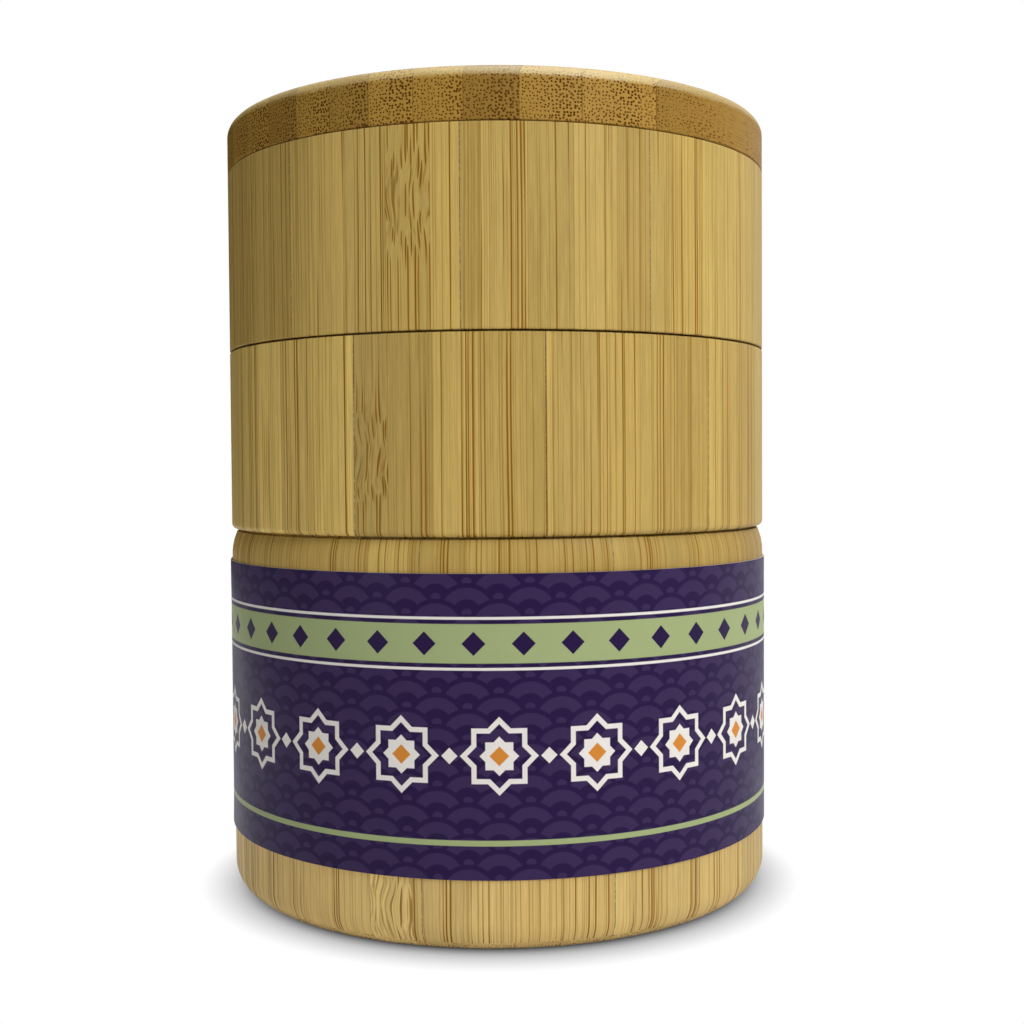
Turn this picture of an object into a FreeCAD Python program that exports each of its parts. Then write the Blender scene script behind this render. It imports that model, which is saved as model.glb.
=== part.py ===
import FreeCAD
import Part
import math
import os

# Tiered salt box: a base and two trays of bamboo staves, stacked under a lid of bamboo lamellas.
# Each upper piece turns on a steel pin at the back and is held shut by magnets at the front.
# The origin is the centre of the underside, +Z is up, and the front faces -Y.

# Stack
body_diameter = 100.0
wall_thickness = 11.0
lid_thickness = 9.0
tray_height = 32.5
base_height = 66.0
floor_thickness = 8.0
floor_rebate = 2.0

# Edges
lid_crown_radius = 2.2
edge_break = 0.15
middle_tray_foot_radius = 1.0
foot_radius = 5.0
mouth_radius = 0.8

# Neck of the base, which draws in to its rim
neck_taper = 0.95
neck_taper_height = 2.4
neck_blend_radius = 10.0

# Relief under the outer edge of each piece that turns, seen as a dark line at its seam
relief_depth = 2.0
lid_relief_height = 0.15
tray_relief_height = 0.35

# Glue-up: angles are in degrees, counted from the front towards +X
lid_lamella_count = 14
lid_left_trim = 0.55
lid_right_trim = 2.35
lamella_angle = 33.0
stave_count = 10
base_first_joint_angle = -14.4
middle_tray_first_joint_angle = -27.2
top_tray_first_joint_angle = -6.4

# Swivel pins
pivot_inset = 5.0
pin_diameter = 4.0
pin_length = 20.0
pin_grip = 6.0
pin_end_chamfer = 0.5
pin_end_gap = 1.0
pin_running_clearance = 0.06

# Closing magnets
magnet_inset = 5.5
magnet_diameter = 6.0
magnet_thickness = 2.0
magnet_edge_chamfer = 0.25
magnet_recess = 0.2

# Glued fits
glue_gap = 0.05

# Printed paper sleeve round the base
sleeve_bottom = 12.3
sleeve_height = 48.4
sleeve_clearance = 0.05
paper_thickness = 0.25
sleeve_lap = 10.0
sleeve_lap_angle = 132.0

# How far a cutting tool runs past the face that it starts from
cut_overrun = 1.0

# Sizes that follow from the driving dimensions
outer_radius = body_diameter / 2
inner_radius = outer_radius - wall_thickness
rebate_radius = inner_radius + floor_rebate
floor_radius = rebate_radius - glue_gap
relief_radius = outer_radius - relief_depth
pivot_radius = outer_radius - pivot_inset
magnet_circle_radius = outer_radius - magnet_inset
stave_angle = 360.0 / stave_count
lamella_width = (lid_left_trim + body_diameter + lid_right_trim) / lid_lamella_count
base_bottom = 0.0
middle_tray_bottom = base_bottom + base_height
top_tray_bottom = middle_tray_bottom + tray_height
lid_bottom = top_tray_bottom + tray_height
lid_top = lid_bottom + lid_thickness

UP = FreeCAD.Vector(0, 0, 1)
AXIS_FOOT = FreeCAD.Vector(0, 0, 0)
FRONT_ANGLE = -90.0


SHARP = ("sharp", 0)


def rounded(radius):
    """An edge rounded to this radius."""
    return "rounded", radius


def chamfered(leg):
    """An edge broken by a flat that starts this far from the corner."""
    return "chamfered", leg


def corner_ends(before, corner, after, edge):
    """The points where a corner starts and ends, and the edge between them, if it isn't sharp."""
    style, size = edge
    if style == "sharp":
        return corner, corner, None
    to_before = (before - corner).normalize()
    to_after = (after - corner).normalize()
    half_angle = to_before.getAngle(to_after) / 2
    leg = size / math.tan(half_angle) if style == "rounded" else size
    start = corner + to_before * leg
    end = corner + to_after * leg
    if style == "chamfered":
        return start, end, Part.LineSegment(start, end).toShape()
    inward = (to_before + to_after).normalize()
    middle = corner + inward * (size / math.sin(half_angle) - size)
    return start, end, Part.Arc(start, middle, end).toShape()


def profile_face(corners):
    """A closed outline in the XZ plane from (x, z, edge) corners, as a face."""
    points = [FreeCAD.Vector(x, 0, z) for x, z, _ in corners]
    ends = []
    for index, (_, _, edge) in enumerate(corners):
        before = points[index - 1]
        after = points[(index + 1) % len(points)]
        ends.append(corner_ends(before, points[index], after, edge))
    outline = []
    for index, (_, end, corner_edge) in enumerate(ends):
        if corner_edge:
            outline.append(corner_edge)
        next_start = ends[(index + 1) % len(ends)][0]
        outline.append(Part.LineSegment(end, next_start).toShape())
    return Part.Face(Part.Wire(outline))


def turned(corners, first_angle=0.0, angle=360.0):
    """Revolves an outline about the stack's axis, from first_angle counter-clockwise seen from above."""
    face = profile_face(corners)
    face.rotate(AXIS_FOOT, UP, first_angle)
    return face.revolve(AXIS_FOOT, UP, angle)


def round_bar(radius, bottom, top, end_edge, place):
    """A solid round bar along Z, moved to its place in plan."""
    bar = turned([(0, bottom, SHARP), (radius, bottom, end_edge), (radius, top, end_edge), (0, top, SHARP)])
    bar.translate(place)
    return bar


def drilled(radius, bottom, top, place):
    """The cylinder that a drill takes out between two heights."""
    return Part.makeCylinder(radius, top - bottom, place + UP * bottom)


pivot_place = FreeCAD.Vector(0, pivot_radius, 0)
magnet_place = FreeCAD.Vector(0, -magnet_circle_radius, 0)
pin_radius = pin_diameter / 2
magnet_radius = magnet_diameter / 2
magnet_pocket_depth = magnet_thickness + magnet_recess


def rim_cuts(seam):
    """What is drilled down into a rim whose top is at this height: the pin's running hole and a magnet pocket."""
    pin_hole_bottom = seam - (pin_length - pin_grip) - pin_end_gap
    pin_hole = drilled(pin_radius + pin_running_clearance, pin_hole_bottom, seam + cut_overrun, pivot_place)
    pocket = drilled(magnet_radius + glue_gap, seam - magnet_pocket_depth, seam + cut_overrun, magnet_place)
    return [pin_hole, pocket]


def underside_cuts(seam):
    """What is drilled up into the piece above a seam: the hole that holds its pin and a magnet pocket."""
    pin_hole = drilled(pin_radius + glue_gap, seam - cut_overrun, seam + pin_grip, pivot_place)
    pocket = drilled(magnet_radius + glue_gap, seam - cut_overrun, seam + magnet_pocket_depth, magnet_place)
    return [pin_hole, pocket]


def pivot_pin(seam):
    """A dowel pin glued into the piece above the seam, which runs in the rim below it."""
    top = seam + pin_grip
    return round_bar(pin_radius, top - pin_length, top, chamfered(pin_end_chamfer), pivot_place)


def disc_magnet(bottom):
    """A closing magnet whose underside is at this height."""
    edge = chamfered(magnet_edge_chamfer)
    return round_bar(magnet_radius, bottom, bottom + magnet_thickness, edge, magnet_place)


def rim_magnet(seam):
    """The closing magnet at the bottom of a rim's pocket."""
    bottom = seam - magnet_pocket_depth
    return disc_magnet(bottom)


def underside_magnet(seam):
    """The closing magnet at the top of the pocket above a seam."""
    top = seam + magnet_pocket_depth
    return disc_magnet(top - magnet_thickness)


def relieved_foot(bottom, relief_height, foot_edge):
    """The outer lower corners of a piece that turns, from the seat that it slides on to its wall."""
    return [
        (relief_radius, bottom, SHARP),
        (relief_radius, bottom + relief_height, SHARP),
        (outer_radius, bottom + relief_height, foot_edge),
    ]


def staves(bottom, height, foot, rim, first_joint, cuts):
    """The staves of one tier's wall, counted from the first glue joint.

    The foot and the rim are the outer corners of the wall. The inside has the rebate for the floor.
    """
    ledge = bottom + floor_thickness
    outline = foot + rim + [
        (inner_radius, bottom + height, rounded(mouth_radius)),
        (inner_radius, ledge, SHARP),
        (rebate_radius, ledge, SHARP),
        (rebate_radius, bottom, SHARP),
    ]
    made = []
    for index in range(stave_count):
        stave = turned(outline, FRONT_ANGLE + first_joint + index * stave_angle, stave_angle)
        for cut in cuts:
            if stave.common(cut).Volume > 0:
                stave = stave.cut(cut)
        made.append(stave)
    return made


def tier_floor(bottom):
    """The disc glued into the rebate under a tier, flush with the underside of its wall."""
    return Part.makeCylinder(floor_radius, floor_thickness, UP * bottom)


def lid_lamellas(cuts):
    """The lid's panel: a turned disc with a crowned top edge, divided at its glue lines.

    The panel is glued up wider than the lid, so turning trims its two outermost lamellas.
    """
    foot = relieved_foot(lid_bottom, lid_relief_height, chamfered(edge_break))
    disc = turned([(0, lid_bottom, SHARP)] + foot + [
        (outer_radius, lid_top, rounded(lid_crown_radius)),
        (0, lid_top, SHARP),
    ])
    for cut in cuts:
        disc = disc.cut(cut)
    made = []
    for index in range(lid_lamella_count):
        left = index * lamella_width - outer_radius - lid_left_trim
        corner = FreeCAD.Vector(left, -body_diameter, lid_bottom - cut_overrun)
        slab = Part.makeBox(lamella_width, 2 * body_diameter, lid_thickness + 2 * cut_overrun, corner)
        slab.rotate(AXIS_FOOT, UP, -lamella_angle)
        made.append(disc.common(slab))
    return made


def paper_sleeve():
    """The paper band round the base, with its glued lap as a second layer."""
    top = sleeve_bottom + sleeve_height
    inside = outer_radius + sleeve_clearance
    outside = inside + paper_thickness
    lap_outside = outside + paper_thickness
    lap_width_angle = math.degrees(sleeve_lap / outside)
    band = Part.makeCylinder(outside, sleeve_height, UP * sleeve_bottom)
    lap = turned([
        (0, sleeve_bottom, SHARP), (lap_outside, sleeve_bottom, SHARP), (lap_outside, top, SHARP), (0, top, SHARP),
    ], FRONT_ANGLE + sleeve_lap_angle, lap_width_angle)
    hollow = drilled(inside, sleeve_bottom - cut_overrun, top + cut_overrun, AXIS_FOOT)
    return band.fuse(lap).cut(hollow).removeSplitter()


pieces = {}


def add_numbered(name, shapes):
    """Files repeated pieces under their name and a two-figure number."""
    for number, shape in enumerate(shapes, 1):
        pieces[f"{name}_{number:02d}"] = shape


def add_tier(name, bottom, height, foot, rim, first_joint, cuts):
    """Files the staves, floor and rim magnet of one tier."""
    add_numbered(f"{name}_stave", staves(bottom, height, foot, rim, first_joint, cuts))
    pieces[f"{name}_floor"] = tier_floor(bottom)
    pieces[f"{name}_rim_magnet"] = rim_magnet(bottom + height)


def add_swivel(name, seam):
    """Files the pin and the magnet on the underside of a piece that turns."""
    pieces[f"{name}_pivot_pin"] = pivot_pin(seam)
    pieces[f"{name}_underside_magnet"] = underside_magnet(seam)


# Base
base_foot = [(outer_radius, base_bottom, rounded(foot_radius))]
base_rim = [
    (outer_radius, middle_tray_bottom - neck_taper_height, rounded(neck_blend_radius)),
    (outer_radius - neck_taper, middle_tray_bottom, chamfered(edge_break)),
]
add_tier("base", base_bottom, base_height, base_foot, base_rim,
         base_first_joint_angle, rim_cuts(middle_tray_bottom))
pieces["paper_sleeve"] = paper_sleeve()

# Middle tray
middle_foot = relieved_foot(middle_tray_bottom, tray_relief_height, rounded(middle_tray_foot_radius))
middle_rim = [(outer_radius, top_tray_bottom, chamfered(edge_break))]
middle_cuts = underside_cuts(middle_tray_bottom) + rim_cuts(top_tray_bottom)
add_tier("middle_tray", middle_tray_bottom, tray_height, middle_foot, middle_rim,
         middle_tray_first_joint_angle, middle_cuts)
add_swivel("middle_tray", middle_tray_bottom)

# Top tray
top_foot = relieved_foot(top_tray_bottom, tray_relief_height, chamfered(edge_break))
top_rim = [(outer_radius, lid_bottom, chamfered(edge_break))]
top_cuts = underside_cuts(top_tray_bottom) + rim_cuts(lid_bottom)
add_tier("top_tray", top_tray_bottom, tray_height, top_foot, top_rim,
         top_tray_first_joint_angle, top_cuts)
add_swivel("top_tray", top_tray_bottom)

# Lid
add_numbered("lid_lamella", lid_lamellas(underside_cuts(lid_bottom)))
add_swivel("lid", lid_bottom)

os.makedirs("parts", exist_ok=True)
for name, shape in pieces.items():
    solids = shape.Solids
    if len(solids) != 1 or not solids[0].isValid():
        raise ValueError(f"{name} is not one valid solid")
    solids[0].exportStep(os.path.join("parts", f"{name}.step"))
print(len(pieces), "pieces, height", lid_top)
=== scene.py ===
import math
import random

import bpy
from mathutils import Matrix, Vector


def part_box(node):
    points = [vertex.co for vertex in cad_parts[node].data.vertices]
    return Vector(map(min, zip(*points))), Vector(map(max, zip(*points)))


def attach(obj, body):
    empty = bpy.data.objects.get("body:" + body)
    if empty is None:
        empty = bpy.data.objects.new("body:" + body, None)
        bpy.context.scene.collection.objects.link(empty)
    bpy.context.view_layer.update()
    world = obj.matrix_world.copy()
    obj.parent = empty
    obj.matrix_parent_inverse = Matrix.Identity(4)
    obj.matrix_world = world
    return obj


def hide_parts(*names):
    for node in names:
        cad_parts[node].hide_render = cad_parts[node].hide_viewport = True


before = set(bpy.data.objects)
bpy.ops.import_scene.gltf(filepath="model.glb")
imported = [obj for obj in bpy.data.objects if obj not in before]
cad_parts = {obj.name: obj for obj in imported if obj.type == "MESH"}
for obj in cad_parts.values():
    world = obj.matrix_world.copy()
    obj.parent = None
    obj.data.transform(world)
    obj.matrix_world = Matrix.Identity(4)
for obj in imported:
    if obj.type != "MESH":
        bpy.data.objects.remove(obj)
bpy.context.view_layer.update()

# Looks of a round bamboo salt box: three tiers of glued staves under a lid of glued lamellas, with a printed
# paper sleeve round the base. Lengths are in metres, and in millimetres inside the materials.

MM = 0.001

# Sizes that the looks share with the solids: angles are in degrees, counted from the front towards +X
OUTER_RADIUS_MM = 50.0
STAVE_COUNT = 10
STAVE_ANGLE = 360.0 / STAVE_COUNT
FIRST_JOINT_ANGLES = {"base": -14.4, "middle_tray": -27.2, "top_tray": -6.4}
STRIP_WIDTH_MM = 7.35
LID_FIRST_EDGE_MM = -50.55
LID_GRAIN_ANGLE = 33.0
SLEEVE_LOW, SLEEVE_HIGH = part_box("paper_sleeve")
SLEEVE_INSIDE = 50.05 * MM
PAPER_THICKNESS = 0.25 * MM
SLEEVE_LAP_ANGLE = 132.0
SLEEVE_LAP = 10.0 * MM

# Camera, fitted to the outline and the seams in the photograph
PHOTO_PIXELS = 1024
FOCAL_PIXELS = 1393.0
SENSOR_MM = 36.0
CAMERA_DISTANCE = 267.4 * MM
CAMERA_HEIGHT = 77.2 * MM
CAMERA_PITCH = -0.0317
CAMERA_YAW = 0.0103
CAMERA_ROLL = 0.0067
CAMERA_NEAR = 10.0 * MM

MATH = "ShaderNodeMath"
VECTOR = "ShaderNodeVectorMath"
RANGE = "ShaderNodeMapRange"
MIX = "ShaderNodeMix"
NOISE = "ShaderNodeTexNoise"
VORONOI = "ShaderNodeTexVoronoi"
SPLIT = "ShaderNodeSeparateXYZ"
JOIN = "ShaderNodeCombineXYZ"
CHANNELS = "ShaderNodeSeparateColor"
COORDINATES = "ShaderNodeTexCoord"
BUMP = "ShaderNodeBump"
PRINCIPLED = "ShaderNodeBsdfPrincipled"
MATERIAL_OUTPUT = "ShaderNodeOutputMaterial"


def srgb(code):
    """A colour written as sRGB hex, as the linear colour that shaders take."""
    channels = [int(code[place:place + 2], 16) / 255 for place in (1, 3, 5)]
    linear = [c / 12.92 if c <= 0.04045 else ((c + 0.055) / 1.055) ** 2.4 for c in channels]
    return (*linear, 1.0)


def add(tree, kind, inputs=(), **settings):
    """Adds a node with its settings, sets or links its inputs by place or by name, and gives its outputs."""
    node = tree.nodes.new(kind)
    for name, value in settings.items():
        setattr(node, name, value)
    for key, value in inputs.items() if isinstance(inputs, dict) else enumerate(inputs):
        if isinstance(value, bpy.types.NodeSocket):
            tree.links.new(value, node.inputs[key])
        else:
            node.inputs[key].default_value = value
    return node.outputs


def new_material(name):
    """An empty material and its node tree."""
    material = bpy.data.materials.new(name)
    material.use_nodes = True
    material.node_tree.nodes.clear()
    return material, material.node_tree


# Bamboo

# How far fibres wander across a strip and through it, and over what width and length
FIBRE_WANDER_MM = (0.5, 0.28, 0.0)
FIBRE_WANDER_WIDTH_MM = 12.0
FIBRE_WANDER_LENGTH_MM = 40.0

# Each strip is cut from its own place in the wood
STRIP_SHIFT_MM = (61.0, 47.0, 83.0)

# Fibre bundles, thin on a strip's pith side and stout on its skin side, with an edge in shares of the radius
BUNDLE_PITCH_MM = 0.56
BUNDLE_RADIUS_MM = (0.125, 0.18)
BUNDLE_SCATTER = 0.7
BUNDLE_EDGE = (0.75, 1.25)
CROWDING_STARTS = (0.0, 0.4)
CROWDING_RUN = 0.6
LINE_SLIMNESS = 1.25

# How dark bundles are: a few are dark and most are pale, and some strips and sheaves have more of them
PALEST_LINE = 0.3
PALEST_DOT = 0.8
BUNDLE_CONTRAST = 1.6
DARKEST_FROM = 0.7
STRIP_STRENGTH = (1.05, 1.7)
SHEAF_WIDTH_MM = 2.2
SHEAF_LENGTH_MM = 60.0
SHEAF_NOISE = (0.38, 0.62)
SHEAF_STRENGTH = (0.45, 1.4)

# Hairs among the bundles, stronger along the grain than in end grain
HAIR_PITCH_MM = 0.36
HAIR_RADIUS_MM = 0.1
HAIR_SCATTER = 0.8
HAIR_EDGE = (0.6, 1.4)
HAIR_STRENGTH = (0.5, 0.15)

# Knuckles of the culm, and the dashes that fibres leave there
KNUCKLE_HALF_HEIGHT_MM = 6.0
KNUCKLE_BULGE_MM = 0.6
KNUCKLE_WAVE_MM = 3.2
KNUCKLE_WAVE_LENGTH_MM = 6.0
KNUCKLE_WAVE_NOISE = (0.2, 0.8)
KNUCKLE_SWAY_MM = 0.7
DASH_WIDTH_MM = 0.4
DASH_LENGTH_MM = 14.0
DASH_NOISE = (0.56, 0.67)
DASH_STRENGTH = 0.8

# Streaks and blotches, and how far these and the strips change the tone
STREAK_WIDTH_MM = 0.28
STREAK_LENGTH_MM = 7.0
STREAK_NOISE = (0.28, 0.72)
BLOTCH_WIDTH_MM = 4.0
BLOTCH_LENGTH_MM = 30.0
LEAST_TONE = 0.76
STRIP_SHADE = 0.2
STREAK_SHADE = 0.24
BLOTCH_SHADE = 0.24
KNUCKLE_SHADE = -0.06
END_GRAIN_SHADE = -0.1
END_FIBRE_SHADE = -0.25
STRIP_WARMTH = 0.2
STREAK_HEIGHT = 0.5
GLUE_LINE_MM = 0.1
GLUE_STRENGTH = 0.6


def bamboo_grain_group():
    """Bamboo as a solid: planed strips of culm wall, whose fibre bundles crowd towards the skin side.

    Section is (across the strips, through their depth, along the fibres) in millimetres. Cut along the
    fibres, the bundles show as fine brown lines. Cut across them, they show as dots.
    """
    tree = bpy.data.node_groups.new("bamboo_grain", "ShaderNodeTree")
    sockets = {
        "Section": "Vector", "First edge": "Float", "Seed": "Float", "Tone": "Float", "Warmth": "Float",
        "Variation": "Float", "Knuckle strip": "Float", "Knuckle height": "Float", "End grain": "Float",
        "Fibre shift": "Vector", "Wear and highlight": "Float", "Ground": "Color", "Fibre": "Color",
    }
    for name, kind in sockets.items():
        tree.interface.new_socket(name, in_out="INPUT", socket_type=f"NodeSocket{kind}")
    for name, kind in {"Colour": "Color", "Marks": "Float", "Height": "Float"}.items():
        tree.interface.new_socket(name, in_out="OUTPUT", socket_type=f"NodeSocket{kind}")
    given = add(tree, "NodeGroupInput")
    section = given["Section"]
    end_grain = given["End grain"]
    across, _, along = add(tree, SPLIT, (section,))[:]

    # Which strip this is, how far across it, and chance values for the strip
    from_edge = add(tree, MATH, (across, given["First edge"]), operation="SUBTRACT")[0]
    in_strips = add(tree, MATH, (from_edge, STRIP_WIDTH_MM), operation="DIVIDE")[0]
    strip = add(tree, MATH, (in_strips,), operation="FLOOR")[0]
    share = add(tree, MATH, (in_strips,), operation="FRACT")[0]
    strip_place = add(tree, JOIN, (strip, given["Seed"], 0.0))[0]
    chance = add(tree, "ShaderNodeTexWhiteNoise", {"Vector": strip_place}, noise_dimensions="3D")["Color"]
    strip_tone, strip_hue, strip_crowding = add(tree, CHANNELS, (chance,))[:]
    strip_shift = add(tree, VECTOR, (chance, STRIP_SHIFT_MM), operation="MULTIPLY")[0]

    # A knuckle of the culm: at one height of one strip the fibres bulge out through the planed face and sway
    is_knuckle = add(tree, MATH, (strip, given["Knuckle strip"], 0.5), operation="COMPARE")[0]
    off = add(tree, MATH, (along, given["Knuckle height"]), operation="SUBTRACT")[0]
    off = add(tree, MATH, (off, KNUCKLE_HALF_HEIGHT_MM), operation="DIVIDE")[0]
    off = add(tree, MATH, (off, off), operation="MULTIPLY")[0]
    fade = add(tree, MATH, (math.exp(-1.0), off), operation="POWER")[0]
    knuckle = add(tree, MATH, (fade, is_knuckle), operation="MULTIPLY")[0]
    bulge = add(tree, MATH, (knuckle, KNUCKLE_BULGE_MM), operation="MULTIPLY")[0]
    wave_scale = (1 / KNUCKLE_WAVE_MM, 1 / KNUCKLE_WAVE_MM, 1 / KNUCKLE_WAVE_LENGTH_MM)
    wave_place = add(tree, VECTOR, (section, wave_scale), operation="MULTIPLY")[0]
    wave = add(tree, NOISE, {"Vector": wave_place, "Scale": 1.0, "Detail": 0.0})["Fac"]
    wave = add(tree, RANGE, (wave, *KNUCKLE_WAVE_NOISE, -KNUCKLE_SWAY_MM, KNUCKLE_SWAY_MM))[0]
    sway = add(tree, MATH, (wave, knuckle), operation="MULTIPLY")[0]

    # Fibres wander a little along the strip
    wander_scale = (1 / FIBRE_WANDER_WIDTH_MM, 1 / FIBRE_WANDER_WIDTH_MM, 1 / FIBRE_WANDER_LENGTH_MM)
    wander_place = add(tree, VECTOR, (section, wander_scale), operation="MULTIPLY")[0]
    wander_place = add(tree, VECTOR, (wander_place, strip_shift), operation="ADD")[0]
    wander = add(tree, NOISE, {"Vector": wander_place, "Scale": 1.0, "Detail": 1.0})["Color"]
    wander = add(tree, VECTOR, (wander, (0.5, 0.5, 0.5)), operation="SUBTRACT")[0]
    wander = add(tree, VECTOR, (wander, FIBRE_WANDER_MM), operation="MULTIPLY")[0]
    bend = add(tree, JOIN, (sway, bulge, 0.0))[0]
    bent = add(tree, VECTOR, (section, wander), operation="ADD")[0]
    bent = add(tree, VECTOR, (bent, bend), operation="ADD")[0]
    cross = add(tree, VECTOR, (bent, (1.0, 1.0, 0.0)), operation="MULTIPLY")[0]
    cross = add(tree, VECTOR, (cross, strip_shift), operation="ADD")[0]

    # Fibre bundles grow stout towards the skin side of a strip
    crowd_from = add(tree, RANGE, (strip_crowding, 0.0, 1.0, *CROWDING_STARTS))[0]
    crowd_to = add(tree, MATH, (crowd_from, CROWDING_RUN), operation="ADD")[0]
    crowding = add(tree, RANGE, (share, crowd_from, crowd_to, 0.0, 1.0), interpolation_type="SMOOTHSTEP")[0]
    fibre_place = add(tree, VECTOR, (cross, given["Fibre shift"]), operation="ADD")[0]
    cells = add(tree, VORONOI, {
        "Vector": fibre_place, "Scale": 1 / BUNDLE_PITCH_MM, "Randomness": BUNDLE_SCATTER,
    }, voronoi_dimensions="2D")
    thin, stout = (radius / BUNDLE_PITCH_MM for radius in BUNDLE_RADIUS_MM)
    core = add(tree, RANGE, (crowding, 0.0, 1.0, BUNDLE_EDGE[0] * thin, BUNDLE_EDGE[0] * stout))[0]
    rim = add(tree, RANGE, (crowding, 0.0, 1.0, BUNDLE_EDGE[1] * thin, BUNDLE_EDGE[1] * stout))[0]
    slimness = add(tree, RANGE, (end_grain, 0.0, 1.0, LINE_SLIMNESS, 1.0))[0]
    reach = add(tree, MATH, (cells["Distance"], slimness), operation="MULTIPLY")[0]
    marks = add(tree, RANGE, (reach, core, rim, 1.0, 0.0), interpolation_type="SMOOTHSTEP")[0]

    # The bundles stand in sheaves, with cleaner wood between these
    palest = add(tree, MATH, (end_grain, PALEST_DOT - PALEST_LINE, PALEST_LINE), operation="MULTIPLY_ADD")[0]
    strength = add(tree, CHANNELS, (cells["Color"],))[0]
    strength = add(tree, MATH, (strength, BUNDLE_CONTRAST), operation="POWER")[0]
    strength = add(tree, RANGE, (strength, 0.0, DARKEST_FROM, palest, 1.0))[0]
    strip_strength = add(tree, RANGE, (strip_hue, 0.0, 1.0, *STRIP_STRENGTH))[0]
    sheaf_scale = (1 / SHEAF_WIDTH_MM, 1 / SHEAF_WIDTH_MM, 1 / SHEAF_LENGTH_MM)
    sheaf_place = add(tree, VECTOR, (bent, sheaf_scale), operation="MULTIPLY")[0]
    sheaf_place = add(tree, VECTOR, (sheaf_place, strip_shift), operation="ADD")[0]
    sheaf = add(tree, NOISE, {"Vector": sheaf_place, "Scale": 1.0, "Detail": 0.0})["Fac"]
    sheaf = add(tree, RANGE, (sheaf, *SHEAF_NOISE, *SHEAF_STRENGTH))[0]
    strip_strength = add(tree, MATH, (strip_strength, sheaf), operation="MULTIPLY")[0]
    strip_strength = add(tree, MATH, (strip_strength, end_grain), operation="MAXIMUM")[0]
    strength = add(tree, MATH, (strength, strip_strength), operation="MULTIPLY")[0]
    marks = add(tree, MATH, (marks, strength), operation="MULTIPLY")[0]

    # Hairs lie among the bundles
    cells = add(tree, VORONOI, {
        "Vector": fibre_place, "Scale": 1 / HAIR_PITCH_MM, "Randomness": HAIR_SCATTER,
    }, voronoi_dimensions="2D")
    hair_core, hair_rim = (edge * HAIR_RADIUS_MM / HAIR_PITCH_MM for edge in HAIR_EDGE)
    hairs = add(tree, RANGE, (cells["Distance"], hair_core, hair_rim, 1.0, 0.0),
                interpolation_type="SMOOTHSTEP")[0]
    hair_strength = add(tree, RANGE, (end_grain, 0.0, 1.0, *HAIR_STRENGTH))[0]
    hairs = add(tree, MATH, (hairs, hair_strength), operation="MULTIPLY")[0]
    strength = add(tree, CHANNELS, (cells["Color"],))[0]
    hairs = add(tree, MATH, (hairs, strength), operation="MULTIPLY")[0]
    marks = add(tree, MATH, (marks, hairs), operation="MAXIMUM")[0]

    # In the knuckle the fibres come to the face as long wavy dashes, and wear takes off marks of all kinds,
    # as does the painted highlight on the lid's corner
    dash_scale = (1 / DASH_WIDTH_MM, 1 / DASH_WIDTH_MM, 1 / DASH_LENGTH_MM)
    dash_place = add(tree, VECTOR, (bent, dash_scale), operation="MULTIPLY")[0]
    dash = add(tree, NOISE, {"Vector": dash_place, "Scale": 1.0, "Detail": 0.5})["Fac"]
    dash = add(tree, RANGE, (dash, *DASH_NOISE, 0.0, DASH_STRENGTH), interpolation_type="SMOOTHSTEP")[0]
    dash = add(tree, MATH, (dash, knuckle), operation="MULTIPLY")[0]
    marks = add(tree, MATH, (marks, dash), operation="MAXIMUM")[0]
    unfaded = add(tree, MATH, (1.0, given["Wear and highlight"]), operation="SUBTRACT")[0]
    marks = add(tree, MATH, (marks, unfaded), operation="MULTIPLY")[0]

    # Fine streaks between the bundles, slow blotches, and the tone of the strip, its knuckle and end grain
    streak_scale = (1 / STREAK_WIDTH_MM, 1 / STREAK_WIDTH_MM, 1 / STREAK_LENGTH_MM)
    streak_place = add(tree, VECTOR, (bent, streak_scale), operation="MULTIPLY")[0]
    streak_place = add(tree, VECTOR, (streak_place, strip_shift), operation="ADD")[0]
    streak = add(tree, NOISE, {"Vector": streak_place, "Scale": 1.0, "Detail": 3.0, "Roughness": 0.65})["Fac"]
    streak = add(tree, RANGE, (streak, *STREAK_NOISE, 0.0, 1.0))[0]
    blotch_scale = (1 / BLOTCH_WIDTH_MM, 1 / BLOTCH_WIDTH_MM, 1 / BLOTCH_LENGTH_MM)
    blotch_place = add(tree, VECTOR, (section, blotch_scale), operation="MULTIPLY")[0]
    blotch_place = add(tree, VECTOR, (blotch_place, strip_shift), operation="ADD")[0]
    blotch = add(tree, NOISE, {"Vector": blotch_place, "Scale": 1.0, "Detail": 2.0})["Fac"]
    level = add(tree, MATH, (strip_tone, 0.5), operation="SUBTRACT")[0]
    level = add(tree, MATH, (level, given["Variation"]), operation="MULTIPLY")[0]
    level = add(tree, MATH, (level, STRIP_SHADE, LEAST_TONE), operation="MULTIPLY_ADD")[0]
    level = add(tree, MATH, (streak, STREAK_SHADE, level), operation="MULTIPLY_ADD")[0]
    level = add(tree, MATH, (blotch, BLOTCH_SHADE, level), operation="MULTIPLY_ADD")[0]
    level = add(tree, MATH, (level, given["Tone"]), operation="MULTIPLY")[0]
    knuckle_shade = add(tree, MATH, (knuckle, KNUCKLE_SHADE, 1.0), operation="MULTIPLY_ADD")[0]
    level = add(tree, MATH, (level, knuckle_shade), operation="MULTIPLY")[0]
    end_shade = add(tree, MATH, (end_grain, END_GRAIN_SHADE, 1.0), operation="MULTIPLY_ADD")[0]
    level = add(tree, MATH, (level, end_shade), operation="MULTIPLY")[0]
    warmth = add(tree, MATH, (strip_hue, given["Variation"]), operation="MULTIPLY")[0]
    warmth = add(tree, MATH, (warmth, STRIP_WARMTH, given["Warmth"]), operation="MULTIPLY_ADD")[0]
    ground = add(tree, MIX, {0: warmth, 6: given["Ground"], 7: given["Fibre"]}, data_type="RGBA")[2]
    ground = add(tree, VECTOR, {0: ground, "Scale": level}, operation="SCALE")[0]
    fibre_shade = add(tree, MATH, (end_grain, END_FIBRE_SHADE, 1.0), operation="MULTIPLY_ADD")[0]
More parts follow.
